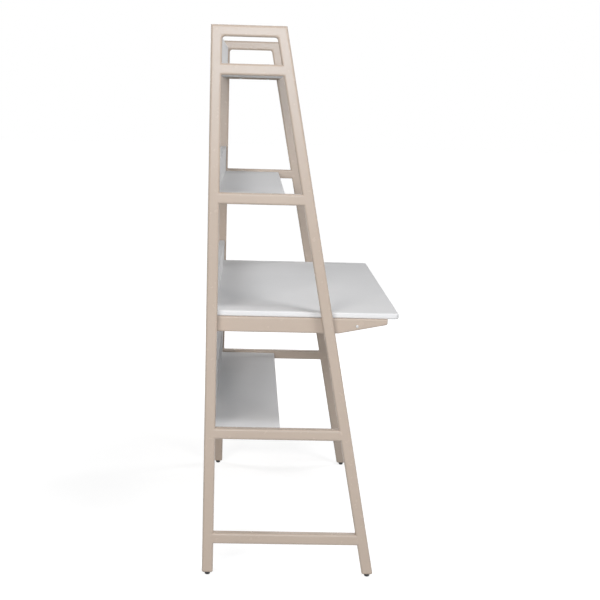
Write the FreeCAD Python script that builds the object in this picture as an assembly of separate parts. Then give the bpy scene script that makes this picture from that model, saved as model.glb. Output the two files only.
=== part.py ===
import FreeCAD, Part
import math
import os

# A ladder desk. Two side frames of square steel tube, each an upright post and a leaning leg tied
# by rails, carry a deep desk board, three shelves and an upright back board at each level.
# Millimetres, +Z up. The sitter looks along +Y and has the left frame at -X. The origin lies on
# the floor below the middle of the desk. A depth is measured forwards from the post backs.

# Overall sizes
overall_width = 1200.0
overall_height = 1500.0
overall_depth = 525.0            # post backs to the desk's front edge
frame_top_depth = 200.0          # post backs to the leg's front edge, at the top
frame_base_depth = 476.0         # the same at floor level

# Square tube of the side frames
tube = 30.0
tube_wall = 2.0
tube_bend = 4.0                  # radius inside the tube's corners

# Heights of the desk's surface and of the tops of the rails
desk_height = 740.0
top_shelf_drop = 100.0           # top shelf rail below the frame's top
mid_shelf_share = 0.486          # of the way from the desk up to the top shelf rail
low_shelf_rail_height = 418.0
foot_rail_height = 122.0

# Boards
desk_thickness = 16.0
desk_corner = 14.0               # radius of the front corners, seen from above
desk_edge = 5.0                  # rounding of the front edge and the ends
desk_back_rise = 69.0            # back board above the desk
shelf_thickness = 16.0
shelf_depth = 184.0
shelf_corner = 5.0
shelf_recess = 8.0               # shelf surface below the rail tops
shelf_back_rise = 86.0           # back board above its shelf
back_board_thickness = 18.0
board_edge = 2.5                 # rounding of the other boards' edges
board_gap = 3.0                  # room between a board's end and the frame

# Pressed desk arms
arm_height = 42.0
arm_tip_height = 15.5
arm_tip_setback = 31.0           # arm tip behind the desk's front edge
arm_tip_corner = 6.0
arm_knee_lead = 10.0             # start of the taper in front of the leg
arm_sheet = 2.0
arm_bend = 2.0                   # radius inside the pressed edges
arm_flange = 26.0                # width of the top flange
arm_lip = 12.0                   # width of the lower lip
desk_screw_shares = (0.2, 0.9)   # along the arm, from its back end

# Tie bar between the arms, with a threaded plug and a bolt at each end
tie_bar_diameter = 14.0
tie_bar_wall = 1.5
tie_bar_share = 0.378            # of the way along the arm's taper, from the knee
tie_plug_length = 20.0
tie_plug_fit = 0.05
bolt_diameter = 5.0
bolt_length = 18.0
bolt_head_diameter = 8.5
bolt_head_height = 2.6

# Steel tabs under the shelves and behind the back boards
tab_thickness = 3.0
tab_reach = 25.0
tab_length = 30.0
tab_corner = 5.0
tab_inset = 45.0                 # tab middle from the shelf's front and back edges

# Pan-head screws
screw_diameter = 4.0
screw_length = 14.0
screw_head_diameter = 8.0
screw_head_height = 2.4
edge_screw_diameter = 5.0
edge_screw_length = 48.0
edge_screw_shares = (-0.4, 0.0, 0.4)   # of the board's length, from its middle
screw_fit = 0.1
head_crown_share = 0.7           # crown of a screw head, of its seat's diameter

# End plugs of posts and legs
cap_thickness = 6.0
cap_edge = 4.5
plug_depth = 22.0
plug_fit = 0.1
plug_rib_count = 3
plug_rib_depth = 2.0
plug_rib_thickness = 3.0

# Levelling feet
foot_diameter = 15.5
foot_height = 8.5
foot_edge = 4.5                  # rounding round the foot's sole
foot_shoulder = 1.0
foot_room = 1.0                  # between foot and end plug as the desk stands
stud_diameter = 6.0
stud_length = 24.0               # above the foot
stud_grip = 5.0                  # inside the foot
stud_point = 0.8
stud_fit = 0.05

overrun = 5.0                    # cuts reach this far past what they cut
touch = 0.01                     # places nearer than this are the same

# Derived sizes
half_width = overall_width / 2
frame_x = tube / 2 - half_width
inner_x = tube - half_width
board_end_x = inner_x + board_gap
tube_corner = tube_bend + tube_wall
tube_bore = tube - 2 * tube_wall
lean = (frame_base_depth - frame_top_depth) / overall_height
leg_run = tube / math.cos(math.atan(lean))
back_board_back = (tube - back_board_thickness) / 2
back_board_front = back_board_back + back_board_thickness
desk_underside = desk_height - desk_thickness
arm_tip = overall_depth - arm_tip_setback
arm_bottom = desk_underside - arm_height
cap_bottom = foot_height + foot_room
tube_bottom = cap_bottom + cap_thickness
top_shelf_rail_height = overall_height - top_shelf_drop
shelf_rail_heights = {
    "top": top_shelf_rail_height,
    "mid": desk_height + mid_shelf_share * (top_shelf_rail_height - desk_height),
    "low": low_shelf_rail_height,
}


def vec(x, y, z):
    return FreeCAD.Vector(x, y, z)


def y_at(depth):
    return overall_depth / 2 - depth


def leg_front(height):
    return frame_top_depth + lean * (overall_height - height)


def leg_middle(height):
    return leg_front(height) - leg_run / 2


def mirrored(shape):
    return shape.mirror(vec(0, 0, 0), vec(1, 0, 0))


def span(edge, axis):
    """Length of an edge along one axis, from its end points."""
    ends = [getattr(vertex.Point, axis) for vertex in edge.Vertexes]
    return max(ends) - min(ends)


def runs_along(edge, axis):
    return all(span(edge, other) < touch for other in "xyz".replace(axis, ""))


def lies_at(edge, axis, place):
    return all(abs(getattr(vertex.Point, axis) - place) < touch for vertex in edge.Vertexes)


def side_prism(outline, x_from, x_to):
    """An outline of (depth, height) points, seen from the side, given a thickness along X."""
    corners = [vec(x_from, y_at(depth), height) for depth, height in outline]
    face = Part.Face(Part.makePolygon(corners + corners[:1]))
    return face.extrude(vec(x_to - x_from, 0, 0))


# Square tubes of the left frame

def bar(line, size, corner):
    """A solid square bar with rounded edges along a line in the plane of the left frame."""
    (depth_from, height_from), (depth_to, height_to) = line
    length = math.hypot(depth_to - depth_from, height_to - height_from)
    solid = Part.makeBox(size, size, length, vec(-size / 2, -size / 2, 0))
    solid = solid.makeFillet(corner, [edge for edge in solid.Edges if runs_along(edge, "z")])
    tilt = math.degrees(math.atan2(depth_to - depth_from, height_to - height_from))
    solid.rotate(vec(0, 0, 0), vec(1, 0, 0), tilt)
    solid.translate(vec(frame_x, y_at(depth_from), height_from))
    return solid


def trimmed(solid, outline):
    return solid.common(side_prism(outline, frame_x - tube, frame_x + tube))


def bored(solid, line):
    return solid.cut(bar(line, tube_bore, tube_bend))


post_line = ((tube / 2, 0), (tube / 2, overall_height))
leg_line = ((leg_middle(-tube), -tube), (leg_middle(overall_height + tube), overall_height + tube))
top_line = (
    (-tube, overall_height - tube / 2),
    (frame_top_depth + tube, overall_height - tube / 2),
)

inner_top = overall_height - tube
post_mitre = (tube, inner_top)
leg_mitre = (leg_front(inner_top) - leg_run, inner_top)
post_crown = (0, overall_height)
leg_crown = (frame_top_depth, overall_height)
post_outline = [(0, tube_bottom), post_crown, post_mitre, (tube, tube_bottom)]
leg_outline = [
    (leg_front(tube_bottom), tube_bottom),
    leg_crown,
    leg_mitre,
    (leg_front(tube_bottom) - leg_run, tube_bottom),
]
top_outline = [post_crown, leg_crown, leg_mitre, post_mitre]


def rail_line(top):
    middle = top - tube / 2
    return ((tube / 2, middle), (leg_middle(middle), middle))


def cross_rail(top, post, leg):
    """A rail whose ends are coped to the rounded post and leg."""
    line = rail_line(top)
    return bored(bar(line, tube, tube_corner).cut(post).cut(leg), line)


def frame_tubes():
    post = trimmed(bar(post_line, tube, tube_corner), post_outline)
    leg = trimmed(bar(leg_line, tube, tube_corner), leg_outline)
    top = trimmed(bar(top_line, tube, tube_corner), top_outline)
    tubes = {
        "back_post": bored(post, post_line),
        "front_leg": bored(leg, leg_line),
        "top_rail": bored(top, top_line),
        "foot_rail": cross_rail(foot_rail_height, post, leg),
    }
    for level, height in shelf_rail_heights.items():
        tubes[level + "_shelf_rail"] = cross_rail(height, post, leg)
    return tubes


# End plugs and levelling feet

def slice_of(line, size, corner, bottom, top):
    """The stretch of a square bar between two heights, cut level at both."""
    back = -tube
    front = leg_front(bottom) + tube
    level_band = [(back, bottom), (front, bottom), (front, top), (back, top)]
    return trimmed(bar(line, size, corner), level_band)


def end_plug(line, foot_depth):
    cap = slice_of(line, tube, tube_corner, cap_bottom, tube_bottom)
    cap = cap.makeFillet(cap_edge, [edge for edge in cap.Edges if lies_at(edge, "z", cap_bottom)])
    plug_top = tube_bottom + plug_depth
    rib_size = tube_bore - 2 * plug_fit
    core_size = rib_size - 2 * plug_rib_depth
    plug = cap.fuse(slice_of(line, core_size, tube_bend, tube_bottom, plug_top))
    pitch = (plug_depth - plug_rib_thickness) / plug_rib_count
    for rib in range(plug_rib_count):
        rib_top = plug_top - rib * pitch
        plug = plug.fuse(slice_of(line, rib_size, tube_bend, rib_top - plug_rib_thickness, rib_top))
    bore = Part.makeCylinder(
        stud_diameter / 2 + stud_fit,
        cap_thickness + plug_depth + 2 * overrun,
        vec(frame_x, y_at(foot_depth), cap_bottom - overrun),
    )
    return plug.removeSplitter().cut(bore)


def foot(foot_depth):
    """A domed glide, turned about its own axis, with a blind hole for its stud."""
    radius = foot_diameter / 2
    sole = radius - foot_edge
    bend = foot_edge * math.sin(math.pi / 4)
    sole_rim = vec(sole, 0, 0)
    side = vec(radius, 0, foot_edge)
    walls = Part.makePolygon([
        side,
        vec(radius, 0, foot_height - foot_shoulder),
        vec(radius - foot_shoulder, 0, foot_height),
        vec(0, 0, foot_height),
        vec(0, 0, 0),
        sole_rim,
    ])
    rounding = Part.Arc(sole_rim, vec(sole + bend, 0, foot_edge - bend), side).toShape()
    profile = Part.Face(Part.Wire(walls.Edges + [rounding]))
    glide = profile.revolve(vec(0, 0, 0), vec(0, 0, 1), 360)
    hole = Part.makeCylinder(
        stud_diameter / 2 + stud_fit, stud_grip + overrun, vec(0, 0, foot_height - stud_grip)
    )
    glide = glide.cut(hole)
    glide.translate(vec(frame_x, y_at(foot_depth), 0))
    return glide


def stud(foot_depth):
    radius = stud_diameter / 2
    rod = Part.makeCylinder(radius, stud_grip + stud_length - stud_point)
    point = Part.makeCone(radius, radius - stud_point, stud_point)
    point.translate(vec(0, 0, stud_grip + stud_length - stud_point))
    rod = rod.fuse(point)
    rod.translate(vec(frame_x, y_at(foot_depth), foot_height - stud_grip))
    return rod


def feet():
    pieces = {}
    ends = {"back": (post_line, tube / 2), "front": (leg_line, leg_middle(cap_bottom))}
    for end, (line, foot_depth) in ends.items():
        pieces[end + "_plug"] = end_plug(line, foot_depth)
        pieces[end + "_foot"] = foot(foot_depth)
        pieces[end + "_stud"] = stud(foot_depth)
    return pieces


# Screws, bolts and the holes that take them

UP = (vec(1, 0, 0), 0)
FORWARD = (vec(1, 0, 0), 90)
INWARD = (vec(0, 1, 0), 90)


def aimed(shape, aim, place):
    axis, turn = aim
    shape.rotate(vec(0, 0, 0), axis, turn)
    shape.translate(place)
    return shape


def screw(diameter, length, head_diameter, head_height, aim, place):
    """A pan-head screw: the underside of its head is at place, its shank points along aim."""
    seat = head_diameter / 2
    head = Part.makeCone(seat, seat * head_crown_share, head_height, vec(0, 0, 0), vec(0, 0, -1))
    return aimed(head.fuse(Part.makeCylinder(diameter / 2, length)), aim, place)


def drill(diameter, length, aim, place):
    hole = Part.makeCylinder(
        diameter / 2 + screw_fit, length + overrun + screw_fit, vec(0, 0, -overrun)
    )
    return aimed(hole, aim, place)


def board_screw(aim, place):
    return screw(screw_diameter, screw_length, screw_head_diameter, screw_head_height, aim, place)


def edge_screw(aim, place):
    return screw(
        edge_screw_diameter, edge_screw_length, screw_head_diameter, screw_head_height, aim, place
    )


def drilled(shape, diameter, length, aim, places):
    for place in places:
        shape = shape.cut(drill(diameter, length, aim, place))
    return shape


def both_sides(places):
    return places + [vec(-place.x, place.y, place.z) for place in places]


# Desk arms and tie bar

arm_back = tube_corner
arm_knee = leg_front(arm_bottom) + arm_knee_lead
arm_tip_bottom = desk_underside - arm_tip_height
arm_taper = math.atan2(arm_tip_bottom - arm_bottom, arm_tip - arm_knee)
arm_web_x = inner_x + arm_sheet
tie_bar_depth = arm_knee + tie_bar_share * (arm_tip - arm_knee)
tie_bar_rise = (arm_sheet + arm_bend + tie_bar_diameter / 2) / math.cos(arm_taper)
tie_bar_height = arm_bottom + (tie_bar_depth - arm_knee) * math.tan(arm_taper) + tie_bar_rise
bolt_place = vec(inner_x, y_at(tie_bar_depth), tie_bar_height)
desk_screw_places = [
    vec(
        inner_x + (arm_lip + arm_flange) / 2,
        y_at(arm_back + share * (arm_tip - arm_back)),
        desk_underside - arm_sheet,
    )
    for share in desk_screw_shares
]


def arm_body(back, inset, bend):
    """The arm's tapered outline as a block with one rounded face, drawn in by the inset."""
    drop = inset / math.cos(arm_taper)
    slope = math.tan(arm_taper)
    front = arm_tip - inset
    bottom = arm_bottom + inset
    knee = arm_knee + (inset - drop) / slope
    tip_bottom = arm_bottom + drop + (front - arm_knee) * slope
    outline = [
        (back, bottom),
        (knee, bottom),
        (front, tip_bottom),
        (front, desk_underside - inset),
        (back, desk_underside - inset),
    ]
    block = side_prism(outline, inner_x + inset, inner_x + arm_flange + inset)
    tip_edge = [
        edge for edge in block.Edges
        if runs_along(edge, "x") and lies_at(edge, "z", tip_bottom) and lies_at(edge, "y", y_at(front))
    ]
    block = block.makeFillet(arm_tip_corner - inset, tip_edge)
    rim = [
        edge for edge in block.Edges
        if lies_at(edge, "x", inner_x + inset) and not lies_at(edge, "y", y_at(back))
    ]
    return block.makeFillet(bend, rim)


def desk_arm():
    """A pressed channel: web on the frame, wide top flange, narrow lip below and round the tip."""
    hollow = arm_body(arm_back - overrun, arm_sheet, arm_bend)
    arm = arm_body(arm_back, 0, arm_bend + arm_sheet).cut(hollow)
    below_flange = Part.makeBox(
        arm_flange,
        overall_depth,
        arm_height - arm_sheet,
        vec(inner_x + arm_lip, y_at(overall_depth), arm_bottom),
    )
    arm = arm.cut(below_flange)
    arm = drilled(arm, screw_diameter, screw_length, UP, desk_screw_places)
    return drilled(arm, bolt_diameter, bolt_length, INWARD, [bolt_place])


def tie_bar():
    length = -2 * arm_web_x
    place = vec(arm_web_x, bolt_place.y, bolt_place.z)
    rod = Part.makeCylinder(tie_bar_diameter / 2, length, place, vec(1, 0, 0))
    bore = Part.makeCylinder(tie_bar_diameter / 2 - tie_bar_wall, length, place, vec(1, 0, 0))
    return rod.cut(bore)


def tie_bar_plug():
    radius = tie_bar_diameter / 2 - tie_bar_wall - tie_plug_fit
    place = vec(arm_web_x, bolt_place.y, bolt_place.z)
    plug = Part.makeCylinder(radius, tie_plug_length, place, vec(1, 0, 0))
    return drilled(plug, bolt_diameter, bolt_length, INWARD, [bolt_place])


def tie_bar_bolt():
    return screw(bolt_diameter, bolt_length, bolt_head_diameter, bolt_head_height, INWARD, bolt_place)


# Tabs

def tab():
    """A flat tab along +X with two rounded corners, and enough behind it to cope to a tube."""
    plate = Part.makeBox(
        tube_corner + tab_reach,
        tab_length,
        tab_thickness,
        vec(-tube_corner, -tab_length / 2, 0),
    )
    free_corners = [
        edge for edge in plate.Edges
        if runs_along(edge, "z") and lies_at(edge, "x", tab_reach)
    ]
    return plate.makeFillet(tab_corner, free_corners)


def shelf_underside(rail_height):
    return rail_height - shelf_recess - shelf_thickness


def shelf_tab_places(rail_height):
    seat = shelf_underside(rail_height) - tab_thickness
    depths = (back_board_front + tab_inset, back_board_front + shelf_depth - tab_inset)
    return [vec(inner_x, y_at(depth), seat) for depth in depths]


def screw_places(tab_places):
    """Screw seats on the middles of tabs."""
    return [place + vec(tab_reach / 2, 0, 0) for place in tab_places]


def shelf_tabs(rail_height):
    places = shelf_tab_places(rail_height)
    rail = bar(rail_line(rail_height), tube, tube_corner)
    tabs = [aimed(tab(), UP, place).cut(rail) for place in places]
    seats = screw_places(places)
    return [drilled(piece, screw_diameter, screw_length, UP, seats) for piece in tabs]


# Boards and what fastens them, level by level

back_boards = {"desk": (desk_underside, desk_height + desk_back_rise)}
for level, rail_height in shelf_rail_heights.items():
    back_boards[level] = (shelf_underside(rail_height), rail_height - shelf_recess + shelf_back_rise)


def back_tab_place(level):
    bottom, top = back_boards[level]
    return vec(inner_x, y_at(back_board_back - tab_thickness), (bottom + top) / 2)


def back_tab(level):
    place = back_tab_place(level)
    piece = aimed(tab(), FORWARD, place).cut(bar(post_line, tube, tube_corner))
    return drilled(piece, screw_diameter, screw_length, FORWARD, screw_places([place]))


def edge_screw_places(level):
    thickness = desk_thickness if level == "desk" else shelf_thickness
    height = back_boards[level][0] + thickness / 2
    length = -2 * board_end_x
    return [vec(share * length, y_at(back_board_back), height) for share in edge_screw_shares]


def flat_board(depth, underside, thickness, corner, rounding):
    """A level board behind which a back board stands: its back edge is square, the rest rounded."""
    back = y_at(back_board_front)
    board = Part.makeBox(
        -2 * board_end_x, depth, thickness, vec(board_end_x, back - depth, underside)
    )
    front_corners = [
        edge for edge in board.Edges
        if runs_along(edge, "z") and lies_at(edge, "y", back - depth)
    ]
    board = board.makeFillet(corner, front_corners)
    rim = [
        edge for edge in board.Edges
        if span(edge, "z") < touch and not lies_at(edge, "y", back)
    ]
    return board.makeFillet(rounding, rim)


def back_board(level):
    bottom, top = back_boards[level]
    board = Part.makeBox(
        -2 * board_end_x,
        back_board_thickness,
        top - bottom,
        vec(board_end_x, y_at(back_board_front), bottom),
    )
    board = board.makeFillet(board_edge, [edge for edge in board.Edges if runs_along(edge, "x")])
    tab_screws = both_sides(screw_places([back_tab_place(level)]))
    board = drilled(board, screw_diameter, screw_length, FORWARD, tab_screws)
    return drilled(
        board, edge_screw_diameter, edge_screw_length, FORWARD, edge_screw_places(level)
    )


def boards():
    desk_depth = overall_depth - back_board_front
    desk = flat_board(desk_depth, desk_underside, desk_thickness, desk_corner, desk_edge)
    desk = drilled(desk, screw_diameter, screw_length, UP, both_sides(desk_screw_places))
    flats = {"desk": desk}
    for level, rail_height in shelf_rail_heights.items():
        underside = shelf_underside(rail_height)
        shelf = flat_board(shelf_depth, underside, shelf_thickness, shelf_corner, board_edge)
        seats = both_sides(screw_places(shelf_tab_places(rail_height)))
        flats[level] = drilled(shelf, screw_diameter, screw_length, UP, seats)
    pieces = {}
    for level, flat in flats.items():
        name = "desk_top" if level == "desk" else level + "_shelf"
        pieces[name] = drilled(
            flat, edge_screw_diameter, edge_screw_length, FORWARD, edge_screw_places(level)
        )
        pieces[level + "_back_board"] = back_board(level)
    return pieces


def fasteners():
    shelf_seats = []
    back_seats = []
    edge_seats = []
    for level in back_boards:
        back_seats += screw_places([back_tab_place(level)])
        edge_seats += edge_screw_places(level)
    for rail_height in shelf_rail_heights.values():
        shelf_seats += screw_places(shelf_tab_places(rail_height))
    bolt = tie_bar_bolt()
    plug = tie_bar_plug()
    return {
        "shelf_screws": [board_screw(UP, seat) for seat in both_sides(shelf_seats)],
        "desk_screws": [board_screw(UP, seat) for seat in both_sides(desk_screw_places)],
        "back_tab_screws": [board_screw(FORWARD, seat) for seat in both_sides(back_seats)],
        "edge_screws": [edge_screw(FORWARD, seat) for seat in edge_seats],
        "tie_bar_bolts": [bolt, mirrored(bolt)],
        "tie_bar_plugs": [plug, mirrored(plug)],
    }


def side_pieces():
    """Everything that the left frame has and the right frame repeats as its mirror image."""
    pieces = frame_tubes()
    pieces.update(feet())
    pieces["desk_arm"] = desk_arm()
    for level, rail_height in shelf_rail_heights.items():
        pieces[level + "_shelf_tabs"] = Part.makeCompound(shelf_tabs(rail_height))
    pieces["back_tabs"] = Part.makeCompound([back_tab(level) for level in back_boards])
    return pieces


def all_nodes():
    nodes = {}
    for name, shape in side_pieces().items():
        nodes["left_" + name] = shape
        nodes["right_" + name] = mirrored(shape)
    nodes.update(boards())
    nodes["tie_bar"] = tie_bar()
    for name, solids in fasteners().items():
        nodes[name] = Part.makeCompound(solids)
    return nodes


os.makedirs("parts", exist_ok=True)
for node, shape in all_nodes().items():
    shape.exportStep(os.path.join("parts", node + ".step"))
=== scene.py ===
"""Finishes a packed ladder desk: paint, lacquer, welds, fasteners, levelling feet and a studio."""
import math
from contextlib import contextmanager

import bmesh
import bpy
from bpy.props import FloatProperty, FloatVectorProperty, IntProperty, PointerProperty
from mathutils import Matrix, Vector


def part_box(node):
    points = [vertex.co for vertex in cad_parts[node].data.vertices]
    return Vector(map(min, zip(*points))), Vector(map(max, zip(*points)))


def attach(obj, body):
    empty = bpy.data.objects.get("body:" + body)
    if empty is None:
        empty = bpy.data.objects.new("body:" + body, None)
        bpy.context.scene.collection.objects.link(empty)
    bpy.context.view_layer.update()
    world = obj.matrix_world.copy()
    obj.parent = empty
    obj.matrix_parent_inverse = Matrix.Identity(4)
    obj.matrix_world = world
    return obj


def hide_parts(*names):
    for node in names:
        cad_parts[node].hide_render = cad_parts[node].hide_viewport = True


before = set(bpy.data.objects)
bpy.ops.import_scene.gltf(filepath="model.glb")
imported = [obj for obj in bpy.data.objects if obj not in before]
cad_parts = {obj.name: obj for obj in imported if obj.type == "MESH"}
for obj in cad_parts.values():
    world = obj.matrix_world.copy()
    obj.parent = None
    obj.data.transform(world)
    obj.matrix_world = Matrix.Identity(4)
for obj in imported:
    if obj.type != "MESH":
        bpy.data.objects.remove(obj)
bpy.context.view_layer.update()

bl_info = {
    "name": "Ladder desk",
    "version": (1, 0, 0),
    "blender": (4, 5, 0),
    "location": "View3D > Sidebar > Ladder desk",
    "description": "Finishes the packed ladder desk and sets it in a studio",
    "category": "Object",
}

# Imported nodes
sides = ("left", "right")
foot_places = [side + "_" + end for side in sides for end in ("back", "front")]
steel_parts = (
    "back_post", "front_leg", "top_rail", "top_shelf_rail", "mid_shelf_rail", "low_shelf_rail",
    "foot_rail", "desk_arm", "top_shelf_tabs", "mid_shelf_tabs", "low_shelf_tabs", "back_tabs",
)
boards = (
    "desk_top", "top_shelf", "mid_shelf", "low_shelf",
    "desk_back_board", "top_back_board", "mid_back_board", "low_back_board",
)

# Directions
up = Vector((0, 0, 1))
forward = Vector((0, -1, 0))     # towards the sitter
inward = Vector((1, 0, 0))       # from the left frame to the right one
floor_plan = Vector((1, 1, 0))   # times a place, leaves where it is on the floor

# Meshes
weld_together = 1e-6             # points nearer than this are one point
corner_digits = 6                # decimals to which the corners of faces that meet agree
smooth_angle = math.radians(38)  # edges that bend by less are shaded smooth
rounding_divisor = 6             # facets round a turned piece per facet of a rounding
weld_edge_divisor = 2            # facets of a weld's hollow per facet of an edge

# Threads, heads and feet
thread_depth_share = 0.55        # of the pitch
thread_shares = (0.0, 0.2, 0.5, 0.7, 1.0)    # heights of a thread's corners, of the pitch
thread_steps = 20                # facets round a thread
spare_turns = 2                  # turns of a thread that are cut off at its ends
blank_share = 0.6                # radius of the blank round a thread, of its diameter
head_steps = 36                  # facets round a head
head_overlap_share = 0.2         # how far a shank runs into its head, of the head's height
screw_point_share = 1.0          # length of a screw's point, of its diameter
pan_rounding_share = 0.75        # of a pan head's height
button_rounding_share = 0.85     # of a button head's height
recess_wing_share = 0.24         # width of a cross recess's wings, of the head's radius
recess_reach_share = 0.46        # length of the wings, of the head's radius
recess_depth_share = 0.6         # of the head's height
recess_taper_share = 0.55        # width of the cutter's inner end, of its outer end
socket_sides = 6
socket_depth_share = 0.65        # of the head's height
stud_chamfer_share = 0.8         # of the pitch
glide_steps = 48                 # facets round a glide

# Materials
noise_range = (0.3, 0.7)         # holds most values of a noise
mix_factor, mix_first, mix_second = 0, 6, 7  # inputs of a node that mixes colours
mix_result = 2                   # and its output
scuff_colour = (0.16, 0.155, 0.15, 1.0)
sole_heights = (0.0003, 0.003)   # above the floor, between which a glide's scuffs fade
passivation_colour = (0.54, 0.53, 0.505, 1.0)

# Studio
image_width = 600                # pixels, as wide as it is high
sensor_width = 36.0              # millimetres
ambient_colour = (0.96, 0.98, 1.0, 1.0)
seen_white = (1.0, 1.0, 1.0, 1.0)
shadow_radii = (0.9, 2.2)        # from the desk's middle, between which shadows fade to white
white_light = (1.0, 1.0, 1.0)
warm_light = (1.0, 0.955, 0.92)
sky_light = (0.965, 0.98, 1.0)
cool_light = (0.74, 0.88, 1.0)
softbox_aim = Vector((0, 0, 0.75))  # the desk's middle
# Each softbox's bearing from the near frame towards the sitter and its height angle, in degrees,
# its distance in metres, the setting of its power, and its colour
softboxes = {
    "key_softbox": (32, 20, 5.8, "key_power", warm_light),
    "side_softbox": (-19, 19, 5.8, "side_power", warm_light),
    "high_softbox": (30, 60, 5.2, "high_power", sky_light),
    "front_softbox": (0, 12, 4.8, "front_power", cool_light),
    "far_front_softbox": (122, 30, 4.8, "far_power", white_light),
    "far_back_softbox": (-122, 16, 4.8, "far_power", white_light),
}


# Settings

class DeskFinish(bpy.types.PropertyGroup):
    """Colours of the desk's finishes"""

    paint: FloatVectorProperty(
        name="Paint",
        description="Powder coat of the steel frame",
        subtype="COLOR",
        default=(0.546, 0.448, 0.37),
    )
    plug: FloatVectorProperty(
        name="End plugs",
        description="Moulded plugs in the bottoms of the posts and legs",
        subtype="COLOR",
        default=(0.536, 0.438, 0.36),
    )
    lacquer: FloatVectorProperty(
        name="Lacquer",
        description="Lacquer of the boards",
        subtype="COLOR",
        default=(0.84, 0.84, 0.845),
    )
    glide: FloatVectorProperty(
        name="Glides",
        description="Moulded pads of the levelling feet",
        subtype="COLOR",
        default=(0.022, 0.022, 0.024),
    )
    zinc: FloatVectorProperty(
        name="Zinc",
        description="Plating of screws, bolts and studs",
        subtype="COLOR",
        default=(0.5, 0.512, 0.53),
    )


class DeskWelds(bpy.types.PropertyGroup):
    """Welds ground into the top corners of the side frames"""

    radius: FloatProperty(
        name="Radius",
        description="Hollow radius of a weld in the frame's inner corner",
        unit="LENGTH",
        default=0.008,
    )
    depth: FloatProperty(
        name="Depth",
        description="How far a weld reaches into the tubes",
        unit="LENGTH",
        default=0.009,
    )
    edge: FloatProperty(
        name="Edge",
        description="Rounding along the weld's sides, the same as the tube's",
        unit="LENGTH",
        default=0.006,
    )
    grind: FloatProperty(
        name="Grind",
        description="How far a weld is ground below the tube's sides",
        unit="LENGTH",
        default=0.00005,
    )
    steps: IntProperty(
        name="Steps",
        description="Facets round a weld's hollow",
        default=10,
    )


class DeskFasteners(bpy.types.PropertyGroup):
    """Sizes of screws, bolts, studs and glides that their outlines don't show"""

    board_screw: FloatProperty(
        name="Board screw",
        description="Thread diameter of the screws in tabs and arms",
        unit="LENGTH",
        default=0.004,
    )
    edge_screw: FloatProperty(
        name="Edge screw",
        description="Thread diameter of the long screws behind the boards",
        unit="LENGTH",
        default=0.005,
    )
    screw_pitch: FloatProperty(
        name="Screw pitch",
        description="Pitch of the wood screws",
        unit="LENGTH",
        default=0.0018,
    )
    screw_head: FloatProperty(
        name="Screw head",
        description="Height of a pan head",
        unit="LENGTH",
        default=0.0024,
    )
    bolt: FloatProperty(
        name="Bolt",
        description="Thread diameter of the tie bar's bolts",
        unit="LENGTH",
        default=0.005,
    )
    bolt_pitch: FloatProperty(
        name="Bolt pitch",
        description="Pitch of the tie bar's bolts",
        unit="LENGTH",
        default=0.0008,
    )
    bolt_head: FloatProperty(
        name="Bolt head",
        description="Height of a button head",
        unit="LENGTH",
        default=0.0026,
    )
    socket: FloatProperty(
        name="Socket",
        description="Width of a bolt's hexagon socket, across its corners",
        unit="LENGTH",
        default=0.0035,
    )
    stud_pitch: FloatProperty(
        name="Stud pitch",
        description="Pitch of the levelling studs",
        unit="LENGTH",
        default=0.001,
    )
    stud_hole: FloatProperty(
        name="Stud hole",
        description="Depth of the hole that holds a stud in its glide",
        unit="LENGTH",
        default=0.005,
    )
    glide_edge: FloatProperty(
        name="Glide edge",
        description="Rounding round a glide's sole",
        unit="LENGTH",
        default=0.0045,
    )
    glide_shoulder: FloatProperty(
        name="Glide shoulder",
        description="Rounding round a glide's top",
        unit="LENGTH",
        default=0.001,
    )


class DeskStudio(bpy.types.PropertyGroup):
    """Lamps, floor and camera"""

    key_power: FloatProperty(
        name="Key power",
        description="Power of the softbox on the sitter's side",
        unit="POWER",
        default=76.0,
    )
    side_power: FloatProperty(
        name="Side power",
        description="Power of the softbox on the desk's back side",
        unit="POWER",
        default=117.0,
    )
    high_power: FloatProperty(
        name="High power",
        description="Power of the high softbox on the sitter's side",
        unit="POWER",
        default=69.0,
    )
    front_power: FloatProperty(
        name="Front power",
        description="Power of the low softbox before the near frame",
        unit="POWER",
        default=39.0,
    )
    far_power: FloatProperty(
        name="Far power",
        description="Power of each softbox past the far frame",
        unit="POWER",
        default=52.0,
    )
    softbox_angle: FloatProperty(
        name="Softbox angle",
        description="Angle over which the desk sees a softbox",
        unit="ROTATION",
        default=0.27,
    )
    ambient: FloatProperty(
        name="Ambient",
        description="Strength of the light from all round",
        default=0.04,
    )
    floor_colour: FloatVectorProperty(
        name="Floor",
        description="Colour of the plain floor",
        subtype="COLOR",
        default=(0.48, 0.48, 0.48),
    )
    floor_size: FloatProperty(
        name="Floor size",
        description="Length of the floor's sides",
        unit="LENGTH",
        default=60.0,
    )
    floor_white: FloatProperty(
        name="Floor white",
        description="White in the floor round the desk",
        subtype="FACTOR",
        default=0.77,
    )
    camera_place: FloatVectorProperty(
        name="Camera",
        description="Place of the camera",
        subtype="TRANSLATION",
        unit="LENGTH",
        default=(-4.27392, 0.14709, 1.32834),
    )
    camera_aim: FloatVectorProperty(
        name="Aim",
        description="Direction in which the camera looks",
        subtype="DIRECTION",
        default=(0.988273, -0.036667, -0.148232),
    )
    camera_roll: FloatProperty(
        name="Roll",
        description="Turn of the camera about its own axis",
        unit="ROTATION",
        default=0.026842,
    )
    focal_pixels: FloatProperty(
        name="Focal length",
        description="Focal length in pixels of the image",
        default=1381.23,
    )


class DeskSettings(bpy.types.PropertyGroup):
    """Everything that can be set"""

    finish: PointerProperty(type=DeskFinish)
    welds: PointerProperty(type=DeskWelds)
    fasteners: PointerProperty(type=DeskFasteners)
    studio: PointerProperty(type=DeskStudio)


def settings():
    return bpy.context.scene.ladder_desk


# Modelling

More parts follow.
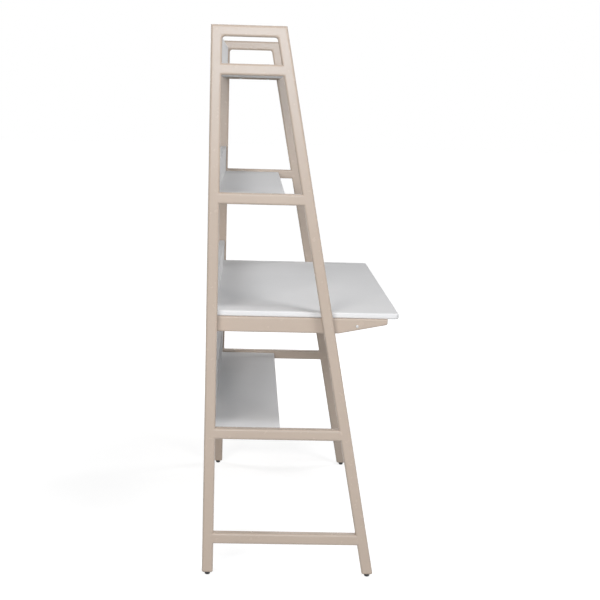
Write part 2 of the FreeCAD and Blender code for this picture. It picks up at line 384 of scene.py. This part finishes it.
def select_only(*pieces):
    bpy.ops.object.select_all(action="DESELECT")
    for piece in pieces:
        piece.select_set(True)
    bpy.context.view_layer.objects.active = pieces[0]


@contextmanager
def editing(piece):
    select_only(piece)
    bpy.ops.object.mode_set(mode="EDIT")
    yield
    bpy.ops.object.mode_set(mode="OBJECT")


def pick(piece, kind, test):
    """Select the vertices or faces of a piece in edit mode whose middle passes a test."""
    bpy.ops.mesh.select_mode(type={"verts": "VERT", "faces": "FACE"}[kind])
    bpy.ops.mesh.select_all(action="DESELECT")
    mesh = bmesh.from_edit_mesh(piece.data)
    for part in getattr(mesh, kind):
        points = [part.co] if kind == "verts" else [vertex.co for vertex in part.verts]
        part.select_set(test(sum(points, Vector()) / len(points)))
    mesh.select_flush_mode()
    bmesh.update_edit_mesh(piece.data)


def added(add, name, **values):
    """A piece that an operator adds, under a name."""
    bpy.ops.object.select_all(action="DESELECT")
    add(**values)
    piece = bpy.context.object
    piece.name = name
    return piece


def cutting_tool(add, name, **values):
    """A piece that an operator adds, with its place and size applied to its mesh."""
    piece = added(add, name, **values)
    select_only(piece)
    bpy.ops.object.transform_apply(location=True, rotation=True, scale=True)
    return piece


def drawn_line(name, points):
    """Edges through points, drawn by extruding one vertex from each point to the next."""
    piece = added(bpy.ops.mesh.primitive_plane_add, name, size=1)
    with editing(piece):
        bpy.ops.mesh.select_mode(type="VERT")
        bpy.ops.mesh.select_all(action="SELECT")
        bpy.ops.mesh.merge(type="CENTER")
        bpy.ops.transform.translate(value=points[0])
        for start, end in zip(points, points[1:]):
            bpy.ops.mesh.extrude_region_move(TRANSFORM_OT_translate={"value": end - start})
    return piece


def round_corner(piece, corner, radius, segments):
    """Round one corner of a drawn line or face, in edit mode."""
    pick(piece, "verts", lambda middle: (middle - corner).length < weld_together)
    bpy.ops.mesh.bevel(affect="VERTICES", offset=radius, segments=segments)


def close_mesh():
    """Merge doubles and point all faces outwards, in edit mode."""
    bpy.ops.mesh.select_all(action="SELECT")
    bpy.ops.mesh.remove_doubles(threshold=weld_together)
    bpy.ops.mesh.normals_make_consistent(inside=False)


def turned(name, outline, roundings, steps):
    """A piece turned about Z from (radius, height) points; roundings: (corner number, radius)."""
    points = [Vector((radius, 0, height)) for radius, height in outline]
    piece = drawn_line(name, points)
    with editing(piece):
        for corner, radius in roundings:
            round_corner(piece, points[corner], radius, steps // rounding_divisor)
        bpy.ops.mesh.select_all(action="SELECT")
        bpy.ops.mesh.spin(steps=steps, angle=math.tau, center=(0, 0, 0), axis=up)
        close_mesh()
    return piece


def apply_modifier(piece, name, kind, **values):
    modifier = piece.modifiers.new(name, kind)
    for key, value in values.items():
        setattr(modifier, key, value)
    select_only(piece)
    bpy.ops.object.modifier_apply(modifier=modifier.name)


def remove(piece):
    bpy.data.meshes.remove(piece.data)


def combine(piece, operation, tool):
    """Cut, join or keep a piece by another one, which is used up."""
    apply_modifier(
        piece, operation.lower(), "BOOLEAN", operation=operation, object=tool, solver="EXACT"
    )
    remove(tool)


def threaded_rod(name, diameter, pitch, bottom, top, tip, run, foot=None):
    """A rod with a helical thread that narrows at its top, over a run, to the radius of its tip.

    Where a foot is given, the bottom is chamfered to that radius.
    """
    crest = diameter / 2
    root = crest - pitch * thread_depth_share
    turns = math.ceil((top - bottom) / pitch) + spare_turns
    radii = (root, root, crest, crest, root)
    heights = [bottom + (share - 1) * pitch for share in thread_shares]
    rod = drawn_line(name, [Vector((radius, 0, height)) for radius, height in zip(radii, heights)])
    apply_modifier(
        rod, "thread", "SCREW", axis="Z", angle=math.tau, screw_offset=pitch, iterations=turns,
        steps=thread_steps, render_steps=thread_steps,
    )
    with editing(rod):
        close_mesh()
        for height, outside in ((bottom, {"clear_inner": True}), (top, {"clear_outer": True})):
            bpy.ops.mesh.select_all(action="SELECT")
            bpy.ops.mesh.bisect(
                plane_co=(0, 0, height), plane_no=up, use_fill=True, threshold=weld_together,
                **outside,
            )
        close_mesh()
    wide = diameter * blank_share
    slope = run / (crest - tip) * (wide - tip)
    below = bottom - pitch
    outline = [(0, below), (wide, below), (wide, top - slope), (tip, top), (0, top)]
    if foot is not None:
        outline = [(0, bottom), (foot, bottom), (wide, bottom + wide - foot), *outline[2:]]
    combine(rod, "INTERSECT", turned(name + "_blank", outline, [], head_steps))
    return rod


def headed(name, radius, height, rounding_share, recess, shank):
    """A fastener along +Z: the underside of its rounded, recessed head is at the origin."""
    outline = [(0, 0), (radius, 0), (radius, -height), (0, -height)]
    top_edge = outline.index((radius, -height))
    head = turned(name + "_head", outline, [(top_edge, height * rounding_share)], head_steps)
    combine(head, "DIFFERENCE", recess)
    combine(head, "UNION", shank)
    return head


def finish_piece(piece, material, slot, body, *nodes):
    """Give a piece its finish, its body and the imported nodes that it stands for."""
    piece.data.materials.clear()
    piece.data.materials.append(material)
    select_only(piece)
    bpy.ops.object.shade_smooth_by_angle(angle=smooth_angle)
    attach(piece, body)
    if nodes:
        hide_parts(*nodes)


def placed_copy(model, name, matrix):
    piece = model.copy()
    piece.data = model.data.copy()
    piece.name = name
    bpy.context.scene.collection.objects.link(piece)
    piece.data.transform(matrix)
    return piece


def fitted(model, name, places, length, head):
    """One piece of copies of a headed fastener, which is used up, at places with their aims."""
    copies = []
    for (low, high), aim in places:
        seat = (low + high) / 2 - aim * (length - head) / 2
        turn = up.rotation_difference(aim).to_matrix().to_4x4()
        copies.append(placed_copy(model, name, Matrix.Translation(seat) @ turn))
    remove(model)
    select_only(*copies)
    bpy.ops.object.join()
    return bpy.context.object


def box_middle(node):
    low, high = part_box(node)
    return (low + high) / 2


def solids_in(node):
    """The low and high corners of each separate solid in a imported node."""
    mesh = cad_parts[node].data
    group = {}

    def place_of(index):
        return tuple(round(value, corner_digits) for value in mesh.vertices[index].co)

    def leader(place):
        while group.setdefault(place, place) != place:
            place = group[place]
        return place

    for face in mesh.polygons:
        first, *others = map(place_of, face.vertices)
        for place in others:
            group[leader(place)] = leader(first)
    solids = {}
    for place in group:
        solids.setdefault(leader(place), []).append(place)
    return [
        (Vector(map(min, zip(*places))), Vector(map(max, zip(*places))))
        for places in solids.values()
    ]


# Materials

def feed(tree, node, inputs):
    """Give a node's inputs, by name or number, plain values or links from other nodes."""
    for key, value in inputs.items():
        if isinstance(value, bpy.types.NodeSocket):
            tree.links.new(value, node.inputs[key])
        else:
            node.inputs[key].default_value = value


def add_node(tree, kind, inputs=None, **values):
    node = tree.nodes.new(kind)
    for key, value in values.items():
        setattr(node, key, value)
    feed(tree, node, inputs or {})
    return node


def ranged(tree, source, source_range, low, high, **values):
    """Values from one range brought to another."""
    source_low, source_high = source_range
    inputs = {
        "Value": source,
        "From Min": source_low,
        "From Max": source_high,
        "To Min": low,
        "To Max": high,
    }
    return add_node(tree, "ShaderNodeMapRange", inputs, **values).outputs["Result"]


def shade_of(colour, factor):
    return (*(min(1.0, channel * factor) for channel in colour), 1.0)


class Shading:
    """A new material whose nodes are added one by one."""

    def __init__(self, name):
        self.material = bpy.data.materials.new(name)
        self.material.use_nodes = True
        self.tree = self.material.node_tree
        self.place = self.add("ShaderNodeTexCoord").outputs["Object"]

    def add(self, kind, inputs=None, **values):
        return add_node(self.tree, kind, inputs, **values)

    def noise(self, scale, detail):
        inputs = {"Scale": scale, "Detail": detail, "Vector": self.place}
        return self.add("ShaderNodeTexNoise", inputs).outputs["Fac"]

    def patches(self, scale, detail, low=0.0, high=1.0, source_range=noise_range):
        """Noise brought from its own range to another."""
        return ranged(self.tree, self.noise(scale, detail), source_range, low, high)

    def mixed(self, factor, first, second):
        """Colours mixed by a factor; a colour is a socket or a plain value."""
        inputs = {mix_factor: factor, mix_first: first, mix_second: second}
        return self.add("ShaderNodeMix", inputs, data_type="RGBA").outputs[mix_result]

    def bump(self, height, distance, strength, below=None):
        inputs = {"Distance": distance, "Strength": strength, "Height": height}
        if below is not None:
            inputs["Normal"] = below
        return self.add("ShaderNodeBump", inputs).outputs["Normal"]

    def grain(self, scale, detail, distance, strength, below=None):
        """Noise as a bump."""
        return self.bump(self.noise(scale, detail), distance, strength, below)

    def surface(self, inputs):
        feed(self.tree, self.tree.nodes["Principled BSDF"], inputs)
        return self.material


def powder_coat():
    """Satin powder coat: orange peel, faint clouding and fine specks."""
    paint = settings().finish.paint
    look = Shading("powder_coat")
    clouds = look.patches(scale=5.0, detail=3.0)
    colour = look.mixed(clouds, shade_of(paint, factor=0.975), shade_of(paint, factor=1.025))
    specks = look.patches(scale=1500.0, detail=1.0, source_range=(0.62, 0.72))
    colour = look.mixed(specks, colour, shade_of(paint, factor=0.92))
    peel = look.grain(scale=520.0, detail=1.5, distance=0.00012, strength=0.05)
    waves = look.grain(scale=45.0, detail=1.0, distance=0.0004, strength=0.02, below=peel)
    return look.surface({
        "Base Color": colour,
        "Roughness": look.patches(scale=60.0, detail=3.0, low=0.22, high=0.28),
        "Normal": waves,
        "Specular IOR Level": 0.5,
    })


def board_lacquer():
    """White lacquer on fibreboard: a fine stipple, long soft waves and a few dust nibs."""
    lacquer = settings().finish.lacquer
    look = Shading("board_lacquer")
    clouds = look.patches(scale=3.0, detail=4.0)
    colour = look.mixed(clouds, shade_of(lacquer, factor=0.98), shade_of(lacquer, factor=1.015))
    fibres = look.patches(scale=900.0, detail=2.0, source_range=(0.6, 0.75))
    colour = look.mixed(fibres, colour, shade_of(lacquer, factor=0.93))
    stipple = look.grain(scale=420.0, detail=2.0, distance=0.00008, strength=0.25)
    waves = look.grain(scale=9.0, detail=1.0, distance=0.0012, strength=0.1, below=stipple)
    cells = look.add("ShaderNodeTexVoronoi", {"Scale": 140.0, "Vector": look.place})
    distance = cells.outputs["Distance"]
    nibs = ranged(look.tree, distance, source_range=(0.0, 0.06), low=1.0, high=0.0)
    return look.surface({
        "Base Color": colour,
        "Roughness": look.patches(scale=26.0, detail=4.0, low=0.57, high=0.67),
        "Normal": look.bump(nibs, distance=0.00005, strength=0.3, below=waves),
        "Specular IOR Level": 0.12,
    })


def moulded_plug():
    """Matt moulded plastic in the frame's colour, with a spark-eroded grain."""
    plug = settings().finish.plug
    look = Shading("moulded_plug")
    clouds = look.patches(scale=25.0, detail=3.0)
    return look.surface({
        "Base Color": look.mixed(clouds, shade_of(plug, factor=0.96), shade_of(plug, factor=1.03)),
        "Roughness": look.patches(scale=300.0, detail=2.0, low=0.5, high=0.62),
        "Normal": look.grain(scale=1900.0, detail=2.0, distance=0.00008, strength=0.4),
        "Specular IOR Level": 0.4,
    })


def moulded_glide():
    """Black moulded plastic, scuffed grey towards the sole."""
    glide = settings().finish.glide
    look = Shading("moulded_glide")
    height = look.add("ShaderNodeSeparateXYZ", {"Vector": look.place}).outputs["Z"]
    sole = ranged(look.tree, height, sole_heights, low=1.0, high=0.0)
    scuffs = look.patches(scale=700.0, detail=3.0, source_range=(0.45, 0.65))
    worn = look.add("ShaderNodeMath", {0: sole, 1: scuffs}, operation="MULTIPLY")
    return look.surface({
        "Base Color": look.mixed(worn.outputs["Value"], (*glide, 1.0), scuff_colour),
        "Roughness": look.patches(scale=200.0, detail=3.0, low=0.28, high=0.42),
        "Normal": look.grain(scale=1600.0, detail=2.0, distance=0.00006, strength=0.3),
        "Specular IOR Level": 0.5,
    })


def bright_zinc():
    """Zinc plating: bluish metal with faint yellow passivation and a fine grain."""
    zinc = settings().finish.zinc
    look = Shading("bright_zinc")
    clouds = look.patches(scale=220.0, detail=3.0)
    return look.surface({
        "Base Color": look.mixed(clouds, shade_of(zinc, factor=0.93), passivation_colour),
        "Roughness": look.patches(scale=900.0, detail=3.0, low=0.4, high=0.55),
        "Normal": look.grain(scale=2600.0, detail=2.0, distance=0.00004, strength=0.25),
        "Metallic": 1.0,
    })


def seen_directly(tree):
    """One for what the camera sees straight, mirrored or through glass, else nothing."""
    path = add_node(tree, "ShaderNodeLightPath")
    total = path.outputs["Is Camera Ray"]
    for name in ("Is Glossy Ray", "Is Transmission Ray"):
        inputs = {0: total, 1: path.outputs[name]}
        total = add_node(tree, "ShaderNodeMath", inputs, operation="MAXIMUM").outputs["Value"]
    return total


def floor_material(studio):
    """A plain pale floor that is white to the camera and keeps the desk's soft shadow near it."""
    material = bpy.data.materials.new("floor")
    material.use_nodes = True
    tree = material.node_tree
    tree.nodes.remove(tree.nodes["Principled BSDF"])
    pale = add_node(tree, "ShaderNodeBsdfDiffuse", {"Color": (*studio.floor_colour, 1.0)})
    place = add_node(tree, "ShaderNodeTexCoord").outputs["Object"]
    distance = add_node(tree, "ShaderNodeVectorMath", {0: place}, operation="LENGTH")
    fade = ranged(
        tree, distance.outputs["Value"], shadow_radii, low=studio.floor_white, high=1.0,
        interpolation_type="SMOOTHSTEP",
    )
    share = add_node(
        tree, "ShaderNodeMath", {0: fade, 1: seen_directly(tree)}, operation="MULTIPLY"
    )
    white = add_node(tree, "ShaderNodeEmission", {"Strength": share.outputs["Value"]})
    both = add_node(
        tree, "ShaderNodeAddShader", {0: pale.outputs["BSDF"], 1: white.outputs["Emission"]}
    )
    feed(tree, tree.nodes["Material Output"], {"Surface": both.outputs["Shader"]})
    return material


def dress(nodes, material):
    """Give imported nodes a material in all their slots."""
    for node in nodes:
        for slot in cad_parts[node].material_slots:
            slot.material = material


# Operators

class PaintFrame(bpy.types.Operator):
    """Powder coat the tubes, arms, tabs and tie bar, and finish the end plugs"""

    bl_idname = "ladder_desk.paint_frame"
    bl_label = "Paint frame"

    def execute(self, context):
        steel = [side + "_" + part for side in sides for part in steel_parts]
        dress(steel + ["tie_bar"], powder_coat())
        dress([place + "_plug" for place in foot_places], moulded_plug())
        return {"FINISHED"}


class LacquerBoards(bpy.types.Operator):
    """Lacquer the desk, the shelves and the back boards"""

    bl_idname = "ladder_desk.lacquer_boards"
    bl_label = "Lacquer boards"

    def execute(self, context):
        dress(boards, board_lacquer())
        return {"FINISHED"}


class WeldCorners(bpy.types.Operator):
    """Fill the inner corners under the top rails with smooth welds"""

    bl_idname = "ladder_desk.weld_corners"
    bl_label = "Weld corners"

    def execute(self, context):
        material = bpy.data.materials["powder_coat"]
        for side in sides:
            rail_low, rail_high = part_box(side + "_top_rail")
            leg_low, leg_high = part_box(side + "_front_leg")
            post_low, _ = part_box(side + "_back_post")
            fall = Vector((0, leg_low.y - rail_low.y, leg_low.z - leg_high.z)).normalized()
            corners = {
                "back": (post_low.y, forward, -up),
                "front": (leg_high.y, -forward, fall),
            }
            for end, (corner_y, along_rail, along_tube) in corners.items():
                corner = Vector(((rail_low.x + rail_high.x) / 2, corner_y, rail_low.z))
                width = rail_high.x - rail_low.x
                piece = self.weld(side + "_" + end + "_weld", corner, along_rail, along_tube, width)
                finish_piece(piece, material, "frame_paint", "desk")
        return {"FINISHED"}

    def weld(self, name, corner, along_rail, along_tube, width):
        """A bar of the tube's rounded section, spun round the hollow between two tubes."""
        welds = settings().welds
        half_angle = along_rail.angle(along_tube) / 2
        bisector = (along_rail + along_tube).normalized()
        centre = corner + bisector * (welds.radius / math.sin(half_angle))
        inner = corner + along_rail * (welds.radius / math.tan(half_angle))
        outer = inner + (inner - centre).normalized() * welds.depth
        across = inward * (width / 2 - welds.grind)
        hollow_edges = [inner - across, inner + across]
        piece = drawn_line(name, [*hollow_edges, outer + across, outer - across])
        axis = along_rail.cross(along_tube).normalized()
        with editing(piece):
            bpy.ops.mesh.select_all(action="SELECT")
            bpy.ops.mesh.edge_face_add()
            for point in hollow_edges:
                round_corner(piece, point, welds.edge, welds.steps // weld_edge_divisor)
            bpy.ops.mesh.select_all(action="SELECT")
            bpy.ops.mesh.spin(
                steps=welds.steps, angle=math.pi - 2 * half_angle, center=centre, axis=axis
            )
            bpy.ops.mesh.select_all(action="SELECT")
            bpy.ops.mesh.fill_holes(sides=0)     # with any number of sides
            close_mesh()
        return piece


class FitScrews(bpy.types.Operator):
    """Model the pan-head screws and put one in each screw's place"""

    bl_idname = "ladder_desk.fit_screws"
    bl_label = "Fit screws"

    def execute(self, context):
        fasteners = settings().fasteners
        head = fasteners.screw_head
        zinc = bright_zinc()
        kinds = {
            "shelf_screws": (fasteners.board_screw, up),
            "desk_screws": (fasteners.board_screw, up),
            "back_tab_screws": (fasteners.board_screw, forward),
            "edge_screws": (fasteners.edge_screw, forward),
        }
        for node, (diameter, aim) in kinds.items():
            solids = solids_in(node)
            low, high = solids[0]
            length = abs((high - low).dot(aim)) - head
            model = self.pan_screw(node, diameter, length, high.x - low.x)
            places = [(corners, aim) for corners in solids]
            piece = fitted(model, "pan_head_" + node, places, length, head)
            finish_piece(piece, zinc, "zinc_steel", "desk", node)
        return {"FINISHED"}

    def pan_screw(self, name, diameter, length, head_diameter):
        fasteners = settings().fasteners
        height = fasteners.screw_head
        radius = head_diameter / 2
        shank = threaded_rod(
            name + "_shank", diameter, fasteners.screw_pitch, bottom=-height * head_overlap_share,
            top=length, tip=0, run=diameter * screw_point_share,
        )
        recess = self.cross_recess(name + "_recess", radius, height)
        return headed(name, radius, height, pan_rounding_share, recess, shank)

    def cross_recess(self, name, radius, height):
        """A tapered cross that cuts the recess for a screwdriver."""
        wing = radius * recess_wing_share
        reach = radius * recess_reach_share
        depth = height * recess_depth_share
        cutter = cutting_tool(
            bpy.ops.mesh.primitive_cube_add, name, size=1, scale=(wing, wing, 2 * depth),
            location=(0, 0, -height),
        )
        with editing(cutter):
            pick(cutter, "faces", lambda middle: abs(middle.z + height) < weld_together)
            bpy.ops.mesh.extrude_faces_move(TRANSFORM_OT_shrink_fatten={"value": reach})
            pick(cutter, "faces", lambda middle: middle.z > depth / 2 - height)
            bpy.ops.transform.resize(
                value=(recess_taper_share, recess_taper_share, 1),
                center_override=(0, 0, depth - height),
            )
            close_mesh()
        return cutter


class FitBolts(bpy.types.Operator):
    """Model the button-head bolts that hold the tie bar, and plate its plugs"""

    bl_idname = "ladder_desk.fit_bolts"
    bl_label = "Fit bolts"

    def execute(self, context):
        head = settings().fasteners.bolt_head
        zinc = bpy.data.materials["bright_zinc"]
        solids = sorted(solids_in("tie_bar_bolts"), key=lambda corners: corners[0].x)
        low, high = solids[0]
        length = high.x - low.x - head
        model = self.button_bolt(length, high.z - low.z)
        places = zip(solids, (inward, -inward))
        piece = fitted(model, "button_head_bolts", places, length, head)
        finish_piece(piece, zinc, "zinc_steel", "desk", "tie_bar_bolts")
        dress(["tie_bar_plugs"], zinc)
        return {"FINISHED"}

    def button_bolt(self, length, head_diameter):
        fasteners = settings().fasteners
        height = fasteners.bolt_head
        pitch = fasteners.bolt_pitch
        shank = threaded_rod(
            "bolt_shank", fasteners.bolt, pitch, bottom=-height * head_overlap_share,
            top=length, tip=(fasteners.bolt - pitch) / 2, run=pitch / 2,
        )
        socket = cutting_tool(
            bpy.ops.mesh.primitive_cylinder_add, "bolt_socket", vertices=socket_sides,
            radius=fasteners.socket / 2, depth=2 * height * socket_depth_share,
            location=(0, 0, -height),
        )
        return headed("bolt", head_diameter / 2, height, button_rounding_share, socket, shank)


class FitFeet(bpy.types.Operator):
    """Model the domed glides and threaded studs of the levelling feet"""

    bl_idname = "ladder_desk.fit_feet"
    bl_label = "Fit feet"

    def execute(self, context):
        glide_finish = moulded_glide()
        zinc = bpy.data.materials["bright_zinc"]
        first = foot_places[0]
        glide = self.glide(first)
        stud = self.stud(first)
        for place in foot_places:
            shift = Matrix.Translation(box_middle(place + "_foot") * floor_plan)
            body = place + "_foot_body"
            pad = placed_copy(glide, place + "_glide", shift)
            finish_piece(pad, glide_finish, "foot_plastic", body, place + "_foot")
            rod = placed_copy(stud, place + "_threaded_stud", shift)
            finish_piece(rod, zinc, "zinc_steel", body, place + "_stud")
        remove(glide)
        remove(stud)
        return {"FINISHED"}

    def glide(self, place):
        """A domed pad on the floor, with the hole for its stud."""
        fasteners = settings().fasteners
        low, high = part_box(place + "_foot")
        stud_low, stud_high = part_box(place + "_stud")
        radius = (high.x - low.x) / 2
        hole = (stud_high.x - stud_low.x) / 2
        hole_bottom = high.z - fasteners.stud_hole
        sole_edge = (radius, low.z)
        shoulder = (radius, high.z)
        outline = [
            (0, low.z), sole_edge, shoulder, (hole, high.z), (hole, hole_bottom), (0, hole_bottom),
        ]
        roundings = [
            (outline.index(sole_edge), fasteners.glide_edge),
            (outline.index(shoulder), fasteners.glide_shoulder),
        ]
        return turned("glide", outline, roundings, glide_steps)

    def stud(self, place):
        """A threaded stud with chamfered ends, standing in its glide."""
        pitch = settings().fasteners.stud_pitch
        low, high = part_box(place + "_stud")
        radius = (high.x - low.x) / 2
        chamfer = pitch * stud_chamfer_share
        end = radius - chamfer
        stud = threaded_rod(
            "stud", 2 * radius, pitch, bottom=0, top=high.z - low.z, tip=end, run=chamfer, foot=end
        )
        stud.data.transform(Matrix.Translation((0, 0, low.z)))
        return stud


class SetStage(bpy.types.Operator):
    """Set the floor, the lamps, the white surroundings and the camera"""

    bl_idname = "ladder_desk.set_stage"
    bl_label = "Set stage"

    def execute(self, context):
        studio = settings().studio
        self.floor(studio)
        self.surroundings(context.scene, studio)
        for name, (bearing, height, distance, power, colour) in softboxes.items():
            lamp = self.softbox(math.radians(bearing), math.radians(height), distance, studio)
            lamp.name = name
            lamp.data.energy = getattr(studio, power)
            lamp.data.color = colour
        self.camera(context.scene, studio)
        context.scene.view_settings.view_transform = "Standard"
        return {"FINISHED"}

    def floor(self, studio):
        floor = added(bpy.ops.mesh.primitive_plane_add, "floor", size=studio.floor_size)
        floor.data.materials.append(floor_material(studio))

    def surroundings(self, scene, studio):
        """White to the camera, and a faint light from all round for the rest."""
        world = bpy.data.worlds.new("studio")
        scene.world = world
        world.use_nodes = True
        tree = world.node_tree
        ambient = tree.nodes["Background"]
        feed(tree, ambient, {"Color": ambient_colour, "Strength": studio.ambient})
        white = add_node(tree, "ShaderNodeBackground", {"Color": seen_white})
        mix = add_node(tree, "ShaderNodeMixShader", {
            0: seen_directly(tree),
            1: ambient.outputs["Background"],
            2: white.outputs["Background"],
        })
        feed(tree, tree.nodes["World Output"], {"Surface": mix.outputs["Shader"]})

    def softbox(self, bearing, height, distance, studio):
        level = -math.cos(height)
        reach = Vector((level * math.cos(bearing), level * math.sin(bearing), math.sin(height)))
        turn = reach.to_track_quat("Z", "Y").to_euler()
        place = softbox_aim + reach * distance
        bpy.ops.object.light_add(type="AREA", location=place, rotation=turn)
        lamp = bpy.context.object
        lamp.data.shape = "SQUARE"
        lamp.data.size = 2 * distance * math.tan(studio.softbox_angle / 2)
        return lamp

    def camera(self, scene, studio):
        aim = Vector(studio.camera_aim).normalized()
        roll = Matrix.Rotation(studio.camera_roll, 3, "Z")
        turn = aim.to_track_quat("-Z", "Y").to_matrix() @ roll
        bpy.ops.object.camera_add(location=studio.camera_place, rotation=turn.to_euler())
        camera = bpy.context.object
        camera.data.sensor_width = sensor_width
        camera.data.lens = studio.focal_pixels / image_width * sensor_width
        scene.camera = camera


operators = (PaintFrame, LacquerBoards, WeldCorners, FitScrews, FitBolts, FitFeet, SetStage)


class LadderDeskPanel(bpy.types.Panel):
    """The desk's settings and steps"""

    bl_idname = "VIEW3D_PT_ladder_desk"
    bl_label = "Ladder desk"
    bl_space_type = "VIEW_3D"
    bl_region_type = "UI"
    bl_category = "Ladder desk"

    def draw(self, context):
        for group in ("finish", "welds", "fasteners", "studio"):
            box = self.layout.box()
            values = getattr(settings(), group)
            for name in values.__annotations__:
                box.prop(values, name)
        for operator in operators:
            self.layout.operator(operator.bl_idname)


groups = (DeskFinish, DeskWelds, DeskFasteners, DeskStudio, DeskSettings)
classes = (*groups, *operators, LadderDeskPanel)


def register():
    for part in classes:
        bpy.utils.register_class(part)
    bpy.types.Scene.ladder_desk = PointerProperty(type=DeskSettings)


def unregister():
    del bpy.types.Scene.ladder_desk
    for part in reversed(classes):
        bpy.utils.unregister_class(part)


def main():
    register()
    bpy.ops.ladder_desk.paint_frame()
    bpy.ops.ladder_desk.lacquer_boards()
    bpy.ops.ladder_desk.weld_corners()
    bpy.ops.ladder_desk.fit_screws()
    bpy.ops.ladder_desk.fit_bolts()
    bpy.ops.ladder_desk.fit_feet()
    bpy.ops.ladder_desk.set_stage()


if __name__ == "__main__":
    main()
